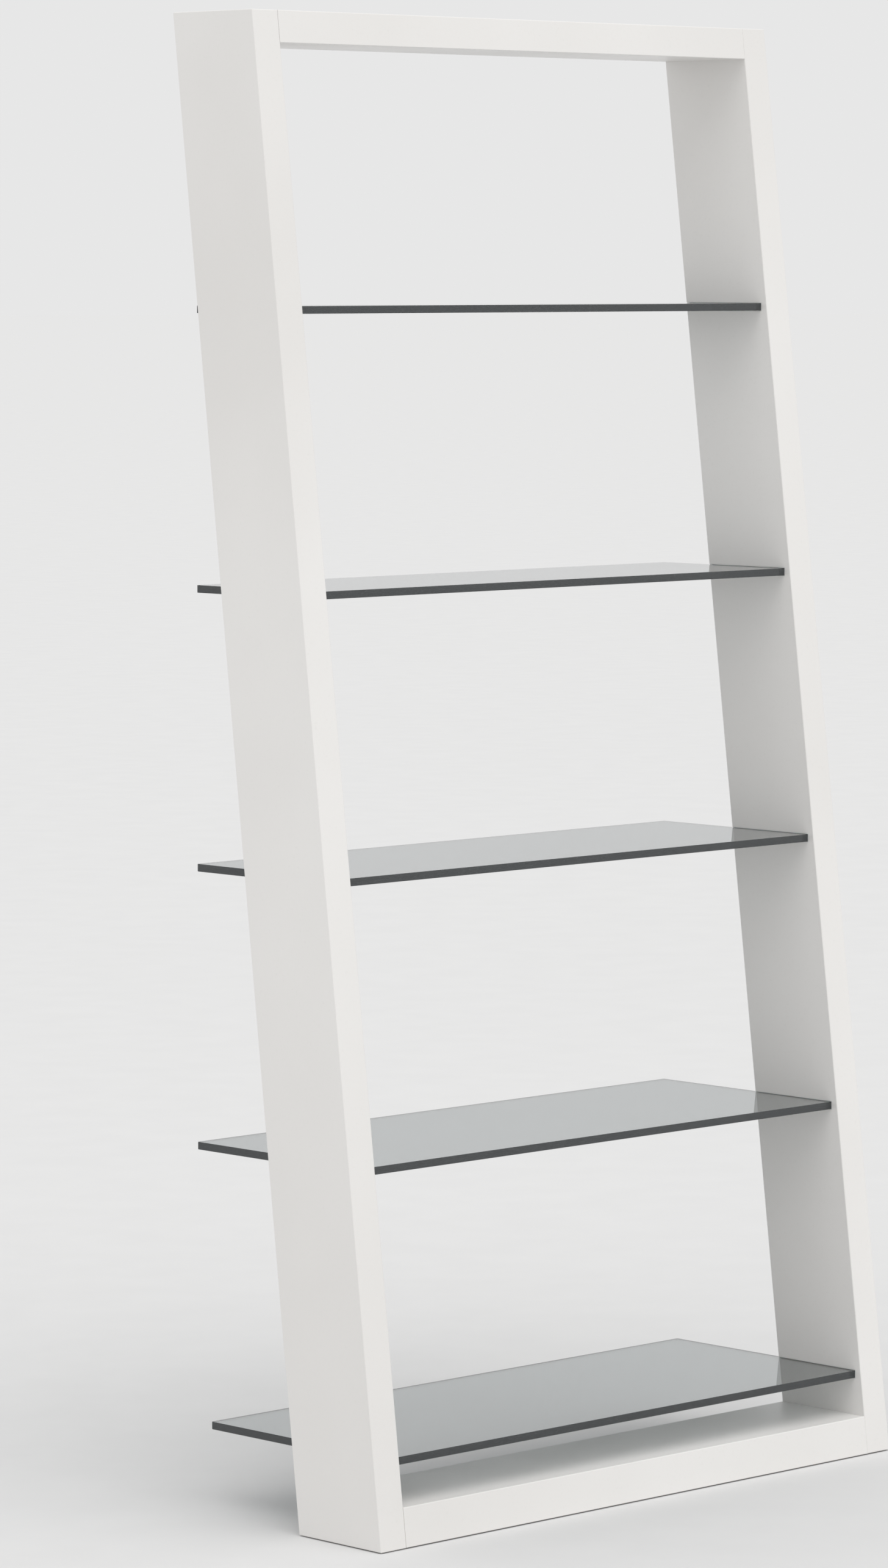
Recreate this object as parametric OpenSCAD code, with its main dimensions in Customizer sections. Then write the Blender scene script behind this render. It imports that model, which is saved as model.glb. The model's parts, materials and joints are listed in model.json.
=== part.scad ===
// Leaning ladder shelf: a rigid frame of four boards that leans back to the wall,
// and level glass shelves that slide into stopped grooves in its two side panels.
//
// Millimetres, +Z up. The origin is on the floor, in the middle of the footprint.
// The front faces -Y, and the wall is the plane y = depth / 2.

/* [Frame] */
// Overall width
frame_w = 950; // [700:5:1100]
// Height from the frame's level bottom cut to its level top cut
frame_h = 1930; // [1800:5:2000]
// How far the frame leans back from upright, in degrees
lean = 7; // [5:0.5:9]
// Depth of the boards, square to the front face
board_depth = 150; // [130:5:180]
// Thickness of the side panels
side_t = 44; // [36:1:50]
// Height of the top panel
top_t = 42; // [36:1:50]
// Height of the bottom panel
bottom_t = 50; // [40:1:60]

/* [Glass shelves] */
// Number of glass shelves
shelf_count = 5; // [3:1:5]
// Glass thickness
glass_t = 10; // [8:1:12]
// Lowest glass top above the frame's bottom cut
first_shelf = 110; // [100:5:160]
// Height from one glass top to the next
shelf_pitch = 361; // [300:1:370]
// How far the glass stands back from the frame's front face
shelf_setback = 10; // [4:1:30]
// How far the glass goes into each side panel
shelf_inset = 5; // [4:1:8]
// Room behind the lowest glass for a skirting board
skirting_gap = 28; // [0:1:40]
// Room between the other glass shelves and the wall
wall_gap = 1.5; // [1:0.5:5]
// Radius of the glass corners
glass_corner_r = 3; // [1:0.5:6]

/* [Groove linings] */
// Wall thickness of the U-shaped lining
liner_t = 0.8; // [0.6:0.1:1.5]
// Play above the glass and beside it
glass_play = 0.2; // [0.1:0.05:0.5]

/* [Corner joints] */
// Diameter of a cam lock
cam_d = 15; // [12:1:18]
// Height of a cam lock
cam_h = 13.5; // [12:0.5:16]
// Distance from the board's end to the cam's centre
cam_reach = 24; // [24:1:34]
// Length of the bolt's thread in the side panel
cam_thread = 11; // [9:1:14]
// Diameter of the wooden dowels
dowel_d = 8; // [6:1:10]
// Length of the wooden dowels
dowel_l = 34; // [30:2:40]

/* [Levelling feet] */
// How far the frame stands above the floor with the feet screwed right in
foot_reveal = 1.5; // [1:0.5:6]
// How far a foot can be screwed down
foot_travel = 8; // [4:1:10]
// Diameter of a foot's disc
foot_d = 24; // [20:1:28]
// Thread diameter of a foot
foot_thread_d = 8; // [6:2:10]

/* [Wall brackets] */
// Distance between the two brackets' screw holes
bracket_spacing = 600; // [400:50:600]
// Width of a bracket
bracket_w = 40; // [30:2:50]
// Thickness of the bracket's steel
bracket_t = 2.5; // [2:0.5:3]
// Length of the leg that lies on the top panel
bracket_top_leg = 50; // [40:1:60]
// Height of the leg that lies against the wall
bracket_wall_leg = 36; // [30:1:36]
// Radius of the hole for the screw into the wall
wall_hole_r = 2.75; // [2.25:0.25:3]

/* [Hidden] */
$fn = 48;
// Overshoot of a cutter past the surface that it opens
over = 1;
// Radial play of a fitting in its drilled hole
hole_play = 0.1;

// The frame in the side view: its front face, its level cuts and its run from front to back
frame_bottom = foot_reveal;
frame_top = foot_reveal + frame_h;
board_run = board_depth / cos(lean);
// Gap between the top panel's back corner and the wall
corner_gap = 1.4;
depth = frame_h * tan(lean) + board_run + corner_gap;
wall_y = depth / 2;
inner_w = frame_w - 2 * side_t;

// Glass and linings
glass_w = inner_w + 2 * shelf_inset;
groove_depth = shelf_inset + glass_play + liner_t;
groove_h = glass_t + glass_play + 2 * liner_t;

// Cam joints: the cams lie in the boards' hidden faces, with their bolts below those faces
cam_axis_depth = 9.5;
cam_cap_t = 1.5;
cam_cap_d = cam_d + 3;
cam_bolt_d = 6;
cam_neck_d = 4;
cam_head_d = 7;
cam_head_l = 2.4;
cam_collar_d = 8;
cam_collar_l = 1.2;
// How far the bolt's head reaches past the cam's centre, and the play around it in the cam
cam_head_reach = 0.6;
cam_play = 0.4;
// Room below a cam in its pocket
cam_floor_gap = 0.5;
// Driver cross in a cam's face: length, width and depth
cam_cross = [9, 1.6, 2.2];
dowel_axis_depth = top_t / 2;
// Places of the fittings along the board, from its front face
cam_margin = 35;
dowel_spacing = 28;
cam_places = [cam_margin, board_run - cam_margin];
dowel_places = [(board_run - dowel_spacing) / 2, (board_run + dowel_spacing) / 2];

// Feet: the disc half hides in a counterbore, and the thread runs in an insert
foot_recess = 4;
foot_disc_h = foot_reveal + foot_recess - 0.5;
foot_margin = 28;
foot_places = [foot_margin, board_run - foot_margin];
insert_wall = 1.6;
insert_h = 14;
// The stem fills its insert even when the foot is right down
foot_stem_l = insert_h + foot_travel + 4;
foot_x = frame_w / 2 - side_t / 2;
thread_play = 0.05;

// Brackets
bracket_bend_r = 1.5;
screw_d = 4;
screw_head_d = 7.6;
screw_head_h = 2;
screw_l = 24;
// Driver cross in a screw's head: length, width and depth
screw_cross = [4.4, 1.2, 1.4];
// Places of a bracket's two screws: from its middle, and from the front edge of its top leg
bracket_screw_x = 11;
bracket_screw_margin = 14;
bracket_screw_y = wall_y - bracket_top_leg + bracket_screw_margin;
// Room behind the wall leg for the head of the screw that goes into the wall
screw_head_room = 5;
notch_play = 0.5;
wall_hole_z = frame_top - top_t / 2;

SIDES = ["left", "right"];
ENDS = ["front", "back"];

function numbered(prefix) = [for (i = [1:shelf_count]) str(prefix, i)];
function foot_name(end, side) = str("levelling_foot_", end, "_", side);
function liner_name(side, i) = str("groove_liner_", side, "_", i);

// -1 on the left, 1 on the right
function sign_of(side) = side == "left" ? -1 : 1;
// y of the frame's front face at the height z
function front_y(z) = (z - frame_bottom) * tan(lean) - depth / 2;
// Height of a glass shelf's top, counted from the lowest
function shelf_top(i) = frame_bottom + first_shelf + (i - 1) * shelf_pitch;
function shelf_front(i) = front_y(shelf_top(i)) + shelf_setback;
function shelf_back(i) = wall_y - (i == 1 ? skirting_gap : wall_gap);
// y of the liner's closed end: the glass stops against it
function groove_front(i) = shelf_front(i) - liner_t;

// ---------- shared shapes ----------

// A slice of the leaning frame between two heights, running along X from x0 for w
module leaning_slab(x0, w, z0, z1) {
    translate([x0, 0, 0])
        rotate([90, 0, 90])
            linear_extrude(w)
                polygon([
                    [front_y(z0), z0],
                    [front_y(z0) + board_run, z0],
                    [front_y(z1) + board_run, z1],
                    [front_y(z1), z1]
                ]);
}

// A cylinder along +X that starts at p
module rod_x(p, d, l) {
    translate(p) rotate([0, 90, 0]) cylinder(d = d, h = l);
}

// A box of the given size whose middle in X and Y is on the origin, from z = z0 up
module centred_box(size, z0) {
    translate([-size[0] / 2, -size[1] / 2, z0]) cube(size);
}

// The cut of a screwdriver's cross, from z = z0 up
module driver_cross(l, w, h, z0) {
    for (turn = [0, 90]) rotate([0, 0, turn]) centred_box([l, w, h], z0);
}

// Repeats its children at both ends of both boards, in the board's own frame: x = 0 on the joint
// plane, +X into the board, y = 0 on its front face, z = 0 on its hidden face, +Z into the board.
module at_corners() {
    for (side = SIDES) {
        mirror([side == "right" ? 1 : 0, 0, 0]) {
            translate([-inner_w / 2, front_y(frame_top - cam_axis_depth), frame_top])
                mirror([0, 0, 1]) children();
            translate([-inner_w / 2, front_y(frame_bottom + cam_axis_depth), frame_bottom])
                children();
        }
    }
}

// ---------- corner joints ----------

// One cam: a disc with a driver cross in its face, a slot for the bolt's neck and a chamber for
// its head
module cam_lock() {
    axis_z = cam_axis_depth - cam_cap_t;
    neck_w = cam_neck_d + 2 * cam_play;
    chamber_w = cam_head_d + 2 * cam_play;
    chamber_l = cam_head_l + 2 * cam_play;
    translate([cam_reach, 0, cam_cap_t]) {
        difference() {
            cylinder(d = cam_d, h = cam_h);
            driver_cross(cam_cross[0], cam_cross[1], cam_cross[2] + over, -over);
            translate([-cam_d / 2, 0, 0]) centred_box([cam_d, neck_w, neck_w], axis_z - neck_w / 2);
            translate([cam_head_reach - cam_head_l / 2, 0, 0])
                centred_box([chamber_l, chamber_w, chamber_w], axis_z - chamber_w / 2);
        }
    }
}

// One bolt: thread in the side panel, collar on its face, neck and head in the cam
module cam_bolt() {
    head_start = cam_reach + cam_head_reach - cam_head_l;
    translate([0, 0, cam_axis_depth]) {
        rod_x([-cam_thread, 0, 0], cam_bolt_d, cam_thread);
        rod_x([0, 0, 0], cam_collar_d, cam_collar_l);
        rod_x([0, 0, 0], cam_neck_d, head_start);
        rod_x([head_start, 0, 0], cam_head_d, cam_head_l);
    }
}

module corner_dowel() {
    chamfer = 1;
    r = dowel_d / 2;
    translate([-dowel_l / 2, 0, dowel_axis_depth])
        rotate([0, 90, 0])
            rotate_extrude()
                polygon([
                    [0, 0], [r - chamfer, 0], [r, chamfer],
                    [r, dowel_l - chamfer], [r - chamfer, dowel_l], [0, dowel_l]
                ]);
}

// Holes for the dowels, through the joint plane into both boards
module dowel_holes() {
    at_corners()
        for (place = dowel_places)
            rod_x([-dowel_l / 2 - over, place, dowel_axis_depth], dowel_d + 2 * hole_play,
                dowel_l + 2 * over);
}

// Pockets in the top and bottom panels for the cams, their caps and the bolts that reach them
module cam_pockets() {
    at_corners()
        for (place = cam_places)
            translate([0, place, 0]) {
                translate([cam_reach, 0, -over])
                    cylinder(d = cam_cap_d + 2 * hole_play, h = cam_cap_t + over);
                translate([cam_reach, 0, 0])
                    cylinder(d = cam_d + 2 * hole_play, h = cam_cap_t + cam_h + cam_floor_gap);
                rod_x([-over, 0, cam_axis_depth], cam_collar_d + 2 * hole_play, cam_reach + over);
            }
}

// Holes in the side panels for the bolts' threads
module cam_thread_holes() {
    at_corners()
        for (place = cam_places)
            rod_x([-cam_thread - over, place, cam_axis_depth], cam_bolt_d + 2 * hole_play,
                cam_thread + 2 * over);
}

module cam_locks() {
    color("silver")
        at_corners() for (place = cam_places) translate([0, place, 0]) cam_lock();
}

module cam_bolts() {
    color("lightsteelblue")
        at_corners() for (place = cam_places) translate([0, place, 0]) cam_bolt();
}

module corner_dowels() {
    color("burlywood")
        at_corners() for (place = dowel_places) translate([0, place, 0]) corner_dowel();
}

module cam_caps() {
    color("whitesmoke")
        at_corners()
            for (place = cam_places)
                translate([cam_reach, place, 0]) cylinder(d = cam_cap_d, h = cam_cap_t);
}

// ---------- frame ----------

// A stopped groove for one glass shelf and its lining, open at the panel's back
module shelf_groove(i) {
    bottom = shelf_top(i) - glass_t - liner_t;
    translate([inner_w / 2, groove_front(i), bottom])
        cube([groove_depth, depth, groove_h]);
}

// Pockets for the two levelling feet of a panel
module foot_pockets() {
    clearance = 1;
    for (place = foot_places) {
        translate([foot_x, front_y(frame_bottom) + place, frame_bottom]) {
            translate([0, 0, -over])
                cylinder(d = foot_d + 2 * clearance, h = foot_recess + over);
            cylinder(d = foot_thread_d + 2 * insert_wall + 2 * hole_play, h = foot_recess + insert_h);
            cylinder(d = foot_thread_d + 2 * clearance, h = foot_recess + foot_stem_l + clearance);
        }
    }
}

// The side panel on the right; the left one is its mirror image
module side_panel() {
    color("white")
        difference() {
            leaning_slab(inner_w / 2, side_t, frame_bottom, frame_top);
            for (i = [1:shelf_count]) shelf_groove(i);
            cam_thread_holes();
            dowel_holes();
            foot_pockets();
        }
}

module left_side_panel() {
    mirror([1, 0, 0]) side_panel();
}

module right_side_panel() {
    side_panel();
}

// Room in the top panel for one bracket: a shallow bed on top and a notch behind the wall leg
module bracket_bed(x) {
    w = bracket_w + 2 * notch_play;
    bed_front = wall_y - bracket_top_leg - notch_play;
    notch_front = wall_y - bracket_t - screw_head_room;
    leg_room = 1.5;
    translate([x - w / 2, bed_front, frame_top - bracket_t])
        cube([w, depth, bracket_t + over]);
    translate([x - w / 2, notch_front, frame_top - bracket_wall_leg - leg_room])
        cube([w, depth, bracket_wall_leg + leg_room + over]);
    for (sx = [-1, 1])
        translate([x + sx * bracket_screw_x, bracket_screw_y, frame_top - screw_l - over])
            cylinder(d = screw_d + 2 * hole_play, h = screw_l + 2 * over);
}

module top_panel() {
    color("white")
        difference() {
            leaning_slab(-inner_w / 2, inner_w, frame_top - top_t, frame_top);
            cam_pockets();
            dowel_holes();
            for (side = SIDES) bracket_bed(sign_of(side) * bracket_spacing / 2);
        }
}

module bottom_panel() {
    color("white")
        difference() {
            leaning_slab(-inner_w / 2, inner_w, frame_bottom, frame_bottom + bottom_t);
            cam_pockets();
            dowel_holes();
        }
}

// ---------- glass shelves ----------

module glass_shelf(i) {
    front = shelf_front(i);
    back = shelf_back(i);
    r = glass_corner_r;
    color([0.45, 0.49, 0.5, 0.6])
        translate([0, 0, shelf_top(i) - glass_t])
            linear_extrude(glass_t) {
                translate([-glass_w / 2 + r, front]) square([glass_w - 2 * r, back - front]);
                translate([-glass_w / 2, front + r]) square([glass_w, back - front - 2 * r]);
                for (sx = [-1, 1])
                    for (y = [front + r, back - r])
                        translate([sx * (glass_w / 2 - r), y]) circle(r);
            }
}

// The U-shaped lining of one groove on the right: floor, roof, web and a closed front end
module groove_liner(i) {
    bottom = shelf_top(i) - glass_t - liner_t;
    front = groove_front(i);
    back = front_y(bottom) + board_run;
    color("gainsboro")
        difference() {
            translate([inner_w / 2, front, bottom])
                cube([groove_depth, back - front, groove_h]);
            translate([inner_w / 2 - over, front + liner_t, bottom + liner_t])
                cube([groove_depth - liner_t + over, depth, groove_h - 2 * liner_t]);
        }
}

module liner_on(side, i) {
    mirror([side == "left" ? 1 : 0, 0, 0]) groove_liner(i);
}

// ---------- levelling feet ----------

// One foot at its own place: a disc with a chamfered rim and a threaded stem
module levelling_foot(end, side) {
    place = end == "front" ? foot_places[0] : foot_places[1];
    rim = 1;
    r = foot_d / 2;
    stem_r = foot_thread_d / 2;
    stem_top = foot_disc_h + foot_stem_l;
    color("dimgray")
        translate([sign_of(side) * foot_x, front_y(frame_bottom) + place, 0])
            rotate_extrude()
                polygon([
                    [0, 0], [r - rim, 0], [r, rim], [r, foot_disc_h - rim], [r - rim, foot_disc_h],
                    [stem_r, foot_disc_h], [stem_r, stem_top - rim], [stem_r - rim, stem_top],
                    [0, stem_top]
                ]);
}

module foot_inserts() {
    outer_d = foot_thread_d + 2 * insert_wall;
    color("goldenrod")
        for (side = SIDES)
            for (place = foot_places)
                translate([
                    sign_of(side) * foot_x,
                    front_y(frame_bottom) + place,
                    frame_bottom + foot_recess
                ])
                    difference() {
                        cylinder(d = outer_d, h = insert_h);
                        translate([0, 0, -over])
                            cylinder(d = foot_thread_d + 2 * thread_play, h = insert_h + 2 * over);
                    }
}

// ---------- wall brackets ----------

// Side view of a bracket, in (y, z): the bend's outer corner is at the origin
module bracket_profile() {
    r = bracket_bend_r + bracket_t;
    translate([-bracket_top_leg, -bracket_t]) square([bracket_top_leg - r, bracket_t]);
    translate([-bracket_t, -bracket_wall_leg]) square([bracket_t, bracket_wall_leg - r]);
    translate([-r, -r])
        intersection() {
            difference() {
                circle(r);
                circle(bracket_bend_r);
            }
            square(r);
        }
}

module wall_bracket(side) {
    x = sign_of(side) * bracket_spacing / 2;
    color("gray")
        difference() {
            translate([x - bracket_w / 2, wall_y, frame_top])
                rotate([90, 0, 90]) linear_extrude(bracket_w) bracket_profile();
            translate([x, wall_y + over, wall_hole_z])
                rotate([90, 0, 0]) cylinder(r = wall_hole_r, h = bracket_t + 2 * over);
            for (sx = [-1, 1])
                translate([x + sx * bracket_screw_x, bracket_screw_y, frame_top]) countersink();
        }
}

// The hole and the cone that a screw's head sinks into, below z = 0
module countersink() {
    translate([0, 0, -bracket_t - over])
        cylinder(d = screw_d + 2 * hole_play, h = bracket_t + 2 * over);
    translate([0, 0, -screw_head_h])
        cylinder(d1 = screw_d + 2 * hole_play, d2 = screw_head_d + 2 * hole_play, h = screw_head_h);
}

// A countersunk wood screw with its head flush at z = 0
module wood_screw() {
    tip = 5;
    r = screw_d / 2;
    difference() {
        rotate_extrude()
            polygon([
                [0, -screw_l], [r, -screw_l + tip], [r, -screw_head_h],
                [screw_head_d / 2, 0], [0, 0]
            ]);
        driver_cross(screw_cross[0], screw_cross[1], screw_cross[2] + over, -screw_cross[2]);
    }
}

module left_wall_bracket() {
    wall_bracket("left");
}

module right_wall_bracket() {
    wall_bracket("right");
}

module bracket_screws() {
    color("darkgray")
        for (side = SIDES)
            for (sx = [-1, 1])
                translate([
                    sign_of(side) * bracket_spacing / 2 + sx * bracket_screw_x,
                    bracket_screw_y,
                    frame_top
                ])
                    wood_screw();
}

// ---------- nodes ----------

left_side_panel();
right_side_panel();
top_panel();
bottom_panel();
for (i = [1:shelf_count])
    glass_shelf(i);
for (side = SIDES, i = [1:shelf_count])
    liner_on(side, i);
cam_locks();
cam_bolts();
corner_dowels();
cam_caps();
for (end = ENDS, side = SIDES)
    levelling_foot(end, side);
foot_inserts();
left_wall_bracket();
right_wall_bracket();
bracket_screws();
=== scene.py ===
"""The leaning ladder shelf's materials, rounded edges, light and camera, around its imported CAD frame.

Lengths are metres in the CAD's own frame: +Z up, -Y the open front, +Y the wall side.
"""
import json
import math

from functools import partial

import bmesh
import bpy
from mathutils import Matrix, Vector


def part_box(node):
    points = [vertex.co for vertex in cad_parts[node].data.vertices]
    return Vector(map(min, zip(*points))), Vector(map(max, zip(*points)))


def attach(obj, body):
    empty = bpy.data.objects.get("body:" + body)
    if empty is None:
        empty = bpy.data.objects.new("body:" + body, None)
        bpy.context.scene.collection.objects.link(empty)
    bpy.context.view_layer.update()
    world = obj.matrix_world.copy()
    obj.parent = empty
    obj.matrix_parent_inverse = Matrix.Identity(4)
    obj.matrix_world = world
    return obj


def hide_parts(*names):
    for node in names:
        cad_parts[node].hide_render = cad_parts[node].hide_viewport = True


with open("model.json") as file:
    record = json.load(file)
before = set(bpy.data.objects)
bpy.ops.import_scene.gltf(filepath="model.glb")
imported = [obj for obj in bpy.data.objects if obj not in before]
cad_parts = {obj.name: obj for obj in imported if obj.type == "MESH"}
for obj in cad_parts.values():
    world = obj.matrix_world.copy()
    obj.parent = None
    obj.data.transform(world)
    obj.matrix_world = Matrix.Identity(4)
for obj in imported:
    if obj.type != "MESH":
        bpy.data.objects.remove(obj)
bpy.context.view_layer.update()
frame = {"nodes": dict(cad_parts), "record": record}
NODES = frame["nodes"]
BODY_OF = {node: body for body, nodes in frame["record"]["behaviour"]["bodies"].items() for node in nodes}
SLOT_OF = {part["node"]: part["material_slot"] for part in frame["record"]["subparts"]}
MM = 0.001
X, Z = 0, 2
SHELF_COUNT = sum(1 for node in NODES if node.startswith("glass_shelf_"))

# ---------- viewpoint ----------

# The eye stands to the front left of the shelf, a little above its top glass
EYE_AZIMUTH = math.radians(-44.94)
EYE_DISTANCE = 7.911
EYE_HEIGHT = 1.6035
# Where the eye looks: the heading from +Y towards +X, and the pitch above the horizon
HEADING = math.radians(44.014)
PITCH = math.radians(-1.929)
LENS_MM = 137.87
SENSOR_MM = 36.0
FRAME_SHIFT = -0.2
FARTHEST_SEEN = 400.0

# ---------- shader helpers ----------

# The Mix node's colour sockets share their names with its other sockets, so they go by number
MIX_FACTOR, MIX_FIRST, MIX_SECOND, MIX_RESULT = 0, 6, 7, 2


class Graph:
    """A material's node graph under construction."""

    def __init__(self, name):
        self.material = bpy.data.materials.new(name)
        self.material.use_nodes = True
        self.tree = self.material.node_tree
        self.surface = self.tree.nodes["Principled BSDF"]
        self.output = self.tree.nodes["Material Output"]
        self.place = self.add("ShaderNodeTexCoord").outputs["Object"]

    def add(self, kind, settings=(), **inputs):
        """A node with its settings, and with inputs given as numbers or as sockets to link."""
        node = self.tree.nodes.new(kind)
        for name, value in dict(settings).items():
            setattr(node, name, value)
        for name, value in inputs.items():
            self.put(node, name.replace("_", " "), value)
        return node

    def feed(self, socket, value):
        """Links an input to a socket, or sets its value."""
        if isinstance(value, bpy.types.NodeSocket):
            self.tree.links.new(value, socket)
        else:
            socket.default_value = value

    def put(self, node, name, value):
        """Feeds a node's first input of that name."""
        self.feed(next(socket for socket in node.inputs if socket.name.lower() == name.lower()), value)

    def finish(self, **inputs):
        """Sets the surface shader's own sockets, by name."""
        for name, value in inputs.items():
            self.put(self.surface, name.replace("_", " "), value)
        return self.material

    def stretched(self, x, y, z):
        """Object coordinates scaled apart along the three axes."""
        return self.add("ShaderNodeMapping", vector=self.place, scale=(x, y, z)).outputs["Vector"]

    def noise(self, scale, detail=2.0, place=None, distortion=0.0):
        """Cloudy noise, with about scale features per metre."""
        return self.add("ShaderNodeTexNoise", vector=place or self.place, scale=scale, detail=detail,
                        distortion=distortion).outputs["Fac"]

    def between(self, value, low, high, start=0.35, end=0.65):
        """Maps the middle of a noise's range to low..high."""
        return self.add("ShaderNodeMapRange", value=value, from_min=start, from_max=end, to_min=low,
                        to_max=high).outputs["Result"]

    def mixed(self, factor, first, second):
        """A colour between two colours, each a socket or three numbers."""
        node = self.add("ShaderNodeMix", settings={"data_type": "RGBA"})
        self.feed(node.inputs[MIX_FACTOR], factor)
        for index, color in ((MIX_FIRST, first), (MIX_SECOND, second)):
            self.feed(node.inputs[index], (*color, 1.0) if isinstance(color, tuple) else color)
        return node.outputs[MIX_RESULT]

    def times(self, first, second):
        """The product of two values."""
        node = self.add("ShaderNodeMath", settings={"operation": "MULTIPLY"})
        for socket, value in zip(node.inputs, (first, second)):
            self.feed(socket, value)
        return node.outputs[0]

    def edges(self, radius):
        """0 on flat faces, rising to 1 along sharp or softened edges."""
        rounded = self.add("ShaderNodeBevel", settings={"samples": 6}, radius=radius).outputs["Normal"]
        flat = self.add("ShaderNodeNewGeometry").outputs["Normal"]
        alike = self.add("ShaderNodeVectorMath", settings={"operation": "DOT_PRODUCT"})
        for socket, normal in zip(alike.inputs, (rounded, flat)):
            self.feed(socket, normal)
        return self.between(alike.outputs["Value"], 1.0, 0.0, start=0.75, end=0.995)

    def bump(self, height, strength, distance, normal=None):
        """A surface normal tilted by a height, on top of another bump if one is given."""
        inputs = {"height": height, "strength": strength, "distance": distance}
        if normal is not None:
            inputs["normal"] = normal
        return self.add("ShaderNodeBump", **inputs).outputs["Normal"]


# ---------- materials ----------


def frame_lacquer():
    """Satin white lacquer: a faint spray texture, an uneven sheen and softly dulled edges."""
    look = Graph("frame_lacquer")
    cloudiness = look.between(look.noise(1.7, 4.0), 0.0, 1.0)
    clouds = look.mixed(cloudiness, (0.785, 0.77, 0.75), (0.835, 0.823, 0.805))
    specks = look.between(look.noise(240.0, 3.0), 0.0, 0.16, start=0.60, end=0.74)
    tone = look.mixed(specks, clouds, (0.70, 0.685, 0.66))
    scuffs = look.between(look.noise(38.0, 6.0), 0.0, 1.0, start=0.44, end=0.64)
    worn = look.times(look.edges(2.2 * MM), scuffs)
    color = look.mixed(look.times(worn, 0.55), tone, (0.56, 0.54, 0.51))
    sheen = look.between(look.noise(5.0, 5.0), 0.34, 0.48)
    peel = look.bump(look.noise(520.0, 1.5), strength=0.16, distance=0.1 * MM)
    ripple = look.bump(look.noise(24.0, 2.0), strength=0.05, distance=0.4 * MM, normal=peel)
    return look.finish(base_color=color, roughness=sheen, normal=ripple, coat_weight=0.12,
                       coat_roughness=0.28, ior=1.5)


def grey_glass():
    """Grey float glass, tinted through its depth. Its edges have a material of their own."""
    look = Graph("grey_glass")
    smears = look.between(look.noise(7.0, 5.0, distortion=0.6), 0.0, 0.035, start=0.45, end=0.75)
    height = look.noise(2.6, 1.0, place=look.stretched(0.35, 1.0, 1.0))
    wave = look.bump(height, strength=0.08, distance=1.5 * MM)
    look.finish(base_color=(0.97, 0.985, 0.985, 1.0), roughness=smears, normal=wave,
                transmission_weight=1.0, ior=1.52)
    tint = look.add("ShaderNodeVolumeAbsorption", color=(0.24, 0.30, 0.31, 1.0), density=66.0)
    look.tree.links.new(tint.outputs["Volume"], look.output.inputs["Volume"])
    return look.material


def glass_edge():
    """The glass's ground and polished edge: dark from its depth, with a little light scattered in it."""
    look = Graph("glass_edge")
    lines = look.noise(160.0, 3.0, place=look.stretched(1.0, 1.0, 9.0))
    color = look.mixed(look.between(lines, 0.0, 1.0), (0.052, 0.057, 0.060), (0.076, 0.083, 0.086))
    return look.finish(base_color=color, roughness=look.between(lines, 0.10, 0.20), ior=1.52,
                       transmission_weight=0.35, normal=look.bump(lines, strength=0.06, distance=0.05 * MM))


def lining():
    """Soft milky vinyl with a fine extruded grain."""
    look = Graph("lining")
    color = look.mixed(look.between(look.noise(30.0, 3.0), 0.0, 1.0), (0.66, 0.66, 0.65), (0.74, 0.74, 0.73))
    grain = look.noise(40.0, 4.0, place=look.stretched(20.0, 1.0, 20.0))
    return look.finish(base_color=color, roughness=look.between(grain, 0.42, 0.58), ior=1.52,
                       normal=look.bump(grain, strength=0.15, distance=0.1 * MM), subsurface_weight=0.12,
                       subsurface_scale=2 * MM)


def metal(name, light, dark, rough, grain_scale, bump, stretch=(1.0, 1.0, 1.0)):
    """Bare metal: mottled colour, uneven polish, and edges rubbed bright."""
    look = Graph(name)
    mottle = look.between(look.noise(90.0, 5.0), 0.0, 1.0)
    bright = tuple(min(1.0, channel * 1.25) for channel in light)
    color = look.mixed(look.times(look.edges(0.6 * MM), 0.6), look.mixed(mottle, dark, light), bright)
    grain = look.noise(grain_scale, 3.0, place=look.stretched(*stretch))
    polish = look.between(grain, rough - 0.08, rough + 0.1)
    return look.finish(base_color=color, metallic=1.0, roughness=polish,
                       normal=look.bump(grain, strength=bump, distance=0.05 * MM))


def zinc():
    return metal("zinc", light=(0.60, 0.61, 0.62), dark=(0.46, 0.47, 0.49), rough=0.48,
                 grain_scale=900.0, bump=0.5)


def steel():
    return metal("steel", light=(0.66, 0.67, 0.70), dark=(0.55, 0.56, 0.57), rough=0.28,
                 grain_scale=300.0, bump=0.25, stretch=(1.0, 8.0, 8.0))


def foot_steel():
    return metal("foot_steel", light=(0.30, 0.30, 0.31), dark=(0.20, 0.20, 0.21), rough=0.40,
                 grain_scale=500.0, bump=0.35, stretch=(1.0, 1.0, 6.0))


def brass():
    return metal("brass", light=(0.80, 0.62, 0.30), dark=(0.66, 0.49, 0.22), rough=0.30,
                 grain_scale=400.0, bump=0.25, stretch=(1.0, 1.0, 9.0))


def beech():
    """Raw beech: long pale grain with short darker flecks."""
    look = Graph("beech")
    grain = look.noise(60.0, 6.0, place=look.stretched(0.12, 1.0, 1.0), distortion=1.2)
    short_grain = look.noise(420.0, 2.0, place=look.stretched(0.25, 1.0, 1.0))
    flecks = look.between(short_grain, 0.0, 1.0, start=0.58, end=0.66)
    wood = look.mixed(look.between(grain, 0.0, 1.0), (0.60, 0.40, 0.23), (0.74, 0.55, 0.35))
    color = look.mixed(look.times(flecks, 0.6), wood, (0.42, 0.25, 0.13))
    return look.finish(base_color=color, roughness=look.between(grain, 0.55, 0.72),
                       normal=look.bump(grain, strength=0.4, distance=0.2 * MM))


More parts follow.
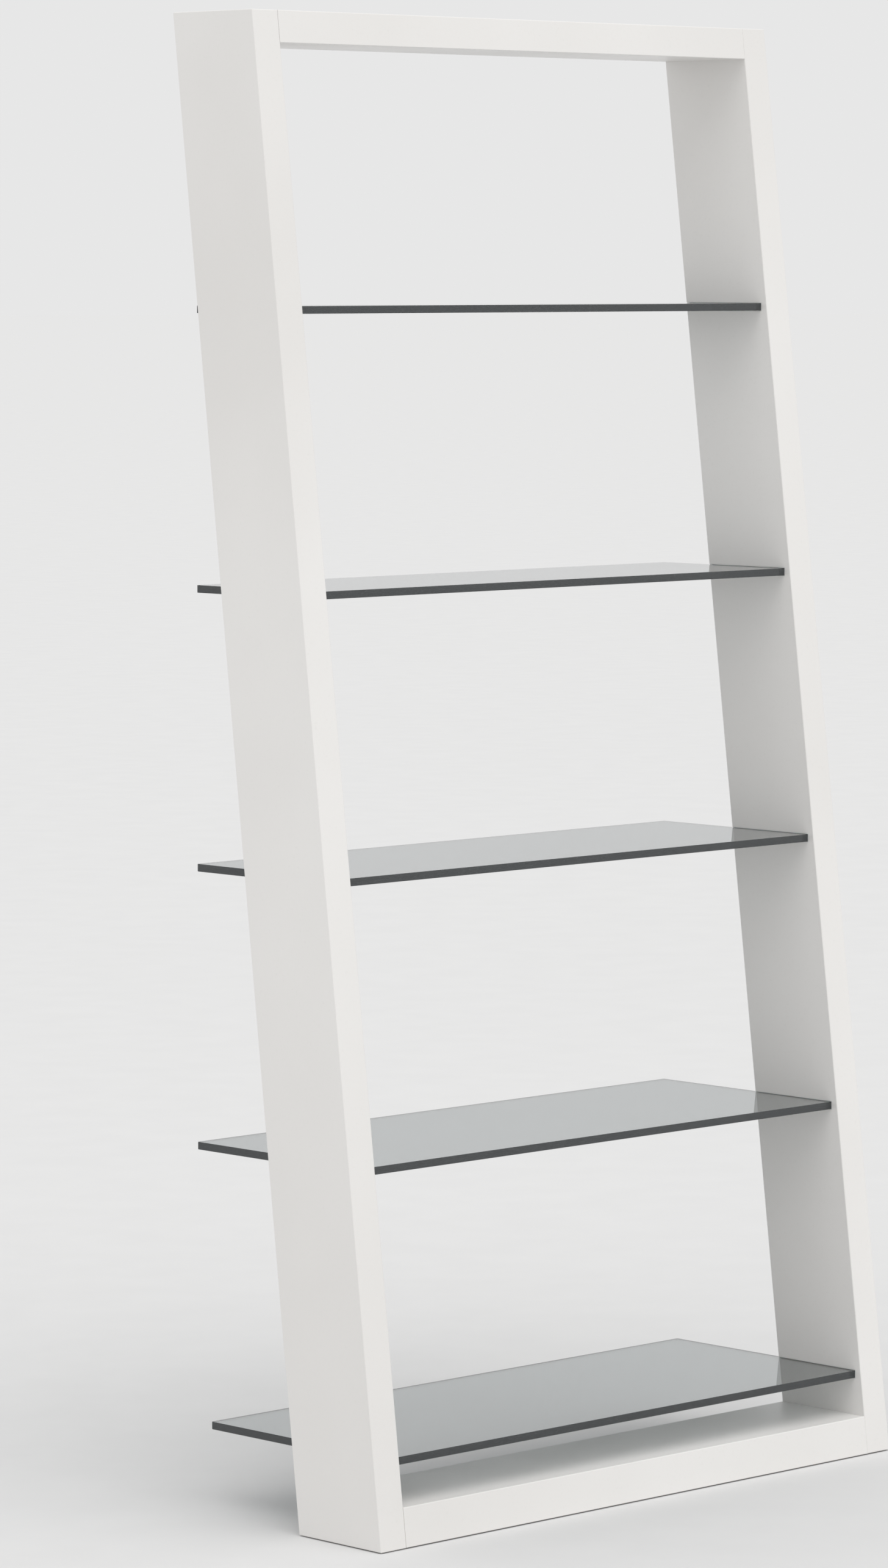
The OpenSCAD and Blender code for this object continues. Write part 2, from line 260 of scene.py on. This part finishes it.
def cap_plastic():
    """Moulded white plastic with a fine spark-eroded texture."""
    look = Graph("cap_plastic")
    mottle = look.between(look.noise(500.0, 3.0), 0.0, 1.0)
    color = look.mixed(mottle, (0.775, 0.765, 0.745), (0.805, 0.795, 0.78))
    spark = look.noise(2600.0, 2.0)
    return look.finish(base_color=color, roughness=look.between(spark, 0.44, 0.6),
                       normal=look.bump(spark, strength=0.3, distance=0.04 * MM), ior=1.49)


def bracket_paint():
    """Powder coat: orange peel, and thin rubbed edges that show the steel's grey."""
    look = Graph("bracket_paint")
    tone = look.mixed(look.between(look.noise(20.0, 3.0), 0.0, 1.0), (0.66, 0.66, 0.65), (0.71, 0.71, 0.70))
    rubbed = look.times(look.edges(0.8 * MM), look.between(look.noise(150.0, 4.0), 0.0, 0.7))
    peel = look.noise(1100.0, 2.0)
    return look.finish(base_color=look.mixed(rubbed, tone, (0.33, 0.33, 0.34)), ior=1.5,
                       roughness=look.between(peel, 0.38, 0.52),
                       normal=look.bump(peel, strength=0.35, distance=0.08 * MM))


MATERIALS = {make.__name__: make() for make in (
    frame_lacquer, grey_glass, glass_edge, lining, zinc, steel, beech, cap_plastic, foot_steel, brass,
    bracket_paint,
)}


def dress(obj, slot):
    obj.data.materials.clear()
    obj.data.materials.append(MATERIALS[slot])


# ---------- shapes ----------

# Corners of the mesh nearer than this are one corner
SAME_CORNER = 0.002 * MM
# Arrises: of a board, of the seam between two boards, of a recess, of a glass and of a bracket.
# A fitting's is the width asked for, by its material's slot.
BOARD_ARRIS = 1.2 * MM
SEAM_ARRIS = 0.15 * MM
RECESS_ARRIS = 0.25 * MM
GLASS_ARRIS = 0.8 * MM
BRACKET_ARRIS = 0.5 * MM
FITTING_ARRIS = {"lining": 0.12 * MM, "zinc": 0.3 * MM, "steel": 0.15 * MM, "beech": 0.2 * MM,
                 "cap_plastic": 0.25 * MM, "foot_steel": 0.3 * MM, "brass": 0.2 * MM}
# Lengths that tell edges apart: a round hole's rim, a groove's or bracket's end, a recess in a rail
LONGEST_RIM_EDGE = 4 * MM
LONGEST_END_EDGE = 20 * MM
LONGEST_RECESS_EDGE = 100 * MM


def welded_copy(node):
    """A new mesh with the CAD node's shape, its split corners joined and its flat faces whole."""
    mesh = NODES[node].data.copy()
    mesh.name = node + "_finished"
    shape = bmesh.new()
    shape.from_mesh(mesh)
    bmesh.ops.remove_doubles(shape, verts=shape.verts, dist=SAME_CORNER)
    nearly_flat = math.radians(0.5)
    bmesh.ops.dissolve_limit(shape, angle_limit=nearly_flat, verts=shape.verts, edges=shape.edges)
    return mesh, shape


def shade_by_area(piece):
    """Makes smooth shading follow the large faces, so that flat faces look flat."""
    weighted = piece.modifiers.new("flat_faces", "WEIGHTED_NORMAL")
    weighted.mode = "FACE_AREA"
    weighted.weight = 100
    weighted.keep_sharp = True


def is_corner(edge):
    """True for an outward corner, and false inside a recess and on flat or gently curved faces."""
    sharpest_curve = math.radians(25)
    return edge.is_convex and edge.calc_face_angle(0.0) > sharpest_curve


def soften(node, width_of):
    """Replaces a CAD node by a copy with rounded arrises. width_of(edge) gives a corner's width, or 0."""
    mesh, shape = welded_copy(node)
    weights = shape.edges.layers.float.new("bevel_weight_edge")
    widths = {edge: width_of(edge) for edge in shape.edges if is_corner(edge)}
    widest = max(widths.values())
    for edge, width in widths.items():
        edge[weights] = width / widest
    for face in shape.faces:
        face.smooth = True
    shape.to_mesh(mesh)
    shape.free()
    piece = bpy.data.objects.new(node + "_finished", mesh)
    bpy.context.scene.collection.objects.link(piece)
    bevel = piece.modifiers.new("arris", "BEVEL")
    bevel.width = widest
    bevel.segments = 3
    bevel.limit_method = "WEIGHT"
    bevel.use_clamp_overlap = False
    shade_by_area(piece)
    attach(piece, BODY_OF[node])
    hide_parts(node)
    dress(piece, SLOT_OF[node])
    return piece


def on_plane(edge, axis, value, reach=0.05 * MM):
    return all(abs(corner.co[axis] - value) < reach for corner in edge.verts)


def is_hole_rim(edge):
    """True for the short edges that make up a round hole's rim, which stay sharp."""
    return edge.calc_length() < LONGEST_RIM_EDGE


def side_width(edge, box):
    """A side board's arrises. A groove's long edges are level, and lie between the board's level cuts."""
    if is_hole_rim(edge):
        return 0.0
    low, high = box
    heights = [corner.co.z for corner in edge.verts]
    is_level = max(heights) - min(heights) < 0.05 * MM
    at_cut = on_plane(edge, Z, low.z) or on_plane(edge, Z, high.z)
    is_groove = is_level or edge.calc_length() < LONGEST_END_EDGE
    return RECESS_ARRIS if is_groove and not at_cut else BOARD_ARRIS


def rail_width(edge, box):
    """The top or bottom board's arrises, finest at the two ends that meet the side boards."""
    if is_hole_rim(edge):
        return 0.0
    low, high = box
    if on_plane(edge, X, low.x) or on_plane(edge, X, high.x):
        return SEAM_ARRIS
    return BOARD_ARRIS if edge.calc_length() > LONGEST_RECESS_EDGE else RECESS_ARRIS


def bracket_width(edge, box):
    """A bracket's arrises, on its two sides and its long edges but not on its holes."""
    low, high = box
    is_outline = on_plane(edge, X, low.x) or on_plane(edge, X, high.x)
    return BRACKET_ARRIS if is_outline or edge.calc_length() > LONGEST_END_EDGE else 0.0


def build_boards():
    for node in ("left_side_panel", "right_side_panel"):
        soften(node, partial(side_width, box=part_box(node)))
    for node in ("top_panel", "bottom_panel"):
        soften(node, partial(rail_width, box=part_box(node)))


def build_glass():
    """The glass shelves, with polished arrises and darker edges."""
    for index in range(1, SHELF_COUNT + 1):
        shelf = soften(f"glass_shelf_{index}", lambda edge: GLASS_ARRIS)
        shelf.data.materials.append(MATERIALS["glass_edge"])
        for face in shelf.data.polygons:
            is_upright = abs(face.normal.z) < 0.5
            face.material_index = int(is_upright)


def build_brackets():
    for node in ("left_wall_bracket", "right_wall_bracket"):
        soften(node, partial(bracket_width, box=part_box(node)))


def finish_fittings():
    """Gives the small CAD parts their finish, and bevels that Blender clamps where their edges are short.

    The clamp holds back the cam fittings', dowels', caps' and feet's bevels to a small part of the width
    asked for. The linings, inserts and screws get it in full.
    """
    for node, fitting in NODES.items():
        slot = SLOT_OF[node]
        if slot not in FITTING_ARRIS:
            continue
        dress(fitting, slot)
        weld = fitting.modifiers.new("weld", "WELD")
        weld.merge_threshold = SAME_CORNER
        bevel = fitting.modifiers.new("edges", "BEVEL")
        bevel.width = FITTING_ARRIS[slot]
        bevel.segments = 2
        bevel.limit_method = "ANGLE"
        bevel.angle_limit = math.radians(40)
        shade_by_area(fitting)


# ---------- stage ----------

AIR_LIGHT = 0.80
# Large far lamps. The azimuth runs from the front towards +X, and all angles are degrees.
LAMPS = {
    "key": {"azimuth": 20, "elevation": 28, "apparent_size": 60, "strength": 0.18,
            "color": (1.0, 0.985, 0.965)},
    "top": {"azimuth": -30, "elevation": 66, "apparent_size": 50, "strength": 1.05,
            "color": (1.0, 0.995, 0.985)},
}
# What the lamps add to the light that a white floor sends back
LAMPS_ON_FLOOR = sum(
    lamp["strength"] * math.sin(math.radians(lamp["elevation"])) / math.pi for lamp in LAMPS.values())
# The floor's share of reflected light at which it is as light as the air
FLOOR_SHADE = AIR_LIGHT / (AIR_LIGHT + LAMPS_ON_FLOOR)
FLOOR_REACH = 150.0


def floor_paint():
    """Matte pale paint. Where nothing shades it, it is as light as the air, so that no horizon shows."""
    look = Graph("floor_paint")
    speckle = look.between(look.noise(9.0, 5.0), 0.0, 1.0)
    color = look.mixed(speckle, (FLOOR_SHADE * 0.992,) * 3, (FLOOR_SHADE * 1.008,) * 3)
    return look.finish(base_color=color, roughness=1.0, specular_ior_level=0.0)


def build_floor():
    corners = [(x * FLOOR_REACH, y * FLOOR_REACH, 0) for x, y in ((-1, -1), (1, -1), (1, 1), (-1, 1))]
    mesh = bpy.data.meshes.new("floor")
    mesh.from_pydata(corners, [], [(0, 1, 2, 3)])
    mesh.materials.append(floor_paint())
    floor = bpy.data.objects.new("floor", mesh)
    bpy.context.scene.collection.objects.link(floor)


def add_lamp(name, azimuth, elevation, apparent_size, strength, color):
    data = bpy.data.lights.new(name, "SUN")
    data.angle = math.radians(apparent_size)
    data.energy = strength
    data.color = color
    lamp = bpy.data.objects.new(name, data)
    side, height = math.radians(azimuth), math.radians(elevation)
    source = Vector((math.sin(side) * math.cos(height), -math.cos(side) * math.cos(height), math.sin(height)))
    lamp.rotation_euler = source.to_track_quat("Z", "Y").to_euler()
    bpy.context.scene.collection.objects.link(lamp)


def light_studio():
    world = bpy.data.worlds.new("studio")
    bpy.context.scene.world = world
    world.use_nodes = True
    background = world.node_tree.nodes["Background"]
    background.inputs["Color"].default_value = (1.0, 1.0, 1.0, 1.0)
    background.inputs["Strength"].default_value = AIR_LIGHT
    for name, lamp in LAMPS.items():
        add_lamp(name, **lamp)


def place_camera():
    data = bpy.data.cameras.new("camera")
    data.lens = LENS_MM
    data.sensor_width = SENSOR_MM
    data.shift_y = FRAME_SHIFT
    data.clip_end = FARTHEST_SEEN
    camera = bpy.data.objects.new("camera", data)
    camera.location = (
        EYE_DISTANCE * math.sin(EYE_AZIMUTH),
        -EYE_DISTANCE * math.cos(EYE_AZIMUTH),
        EYE_HEIGHT,
    )
    ahead = Vector((
        math.sin(HEADING) * math.cos(PITCH),
        math.cos(HEADING) * math.cos(PITCH),
        math.sin(PITCH),
    ))
    camera.rotation_euler = ahead.to_track_quat("-Z", "Y").to_euler()
    bpy.context.scene.collection.objects.link(camera)
    bpy.context.scene.camera = camera


place_camera()
bpy.context.scene.view_settings.view_transform = "Standard"
build_boards()
build_glass()
build_brackets()
finish_fittings()
build_floor()
light_studio()
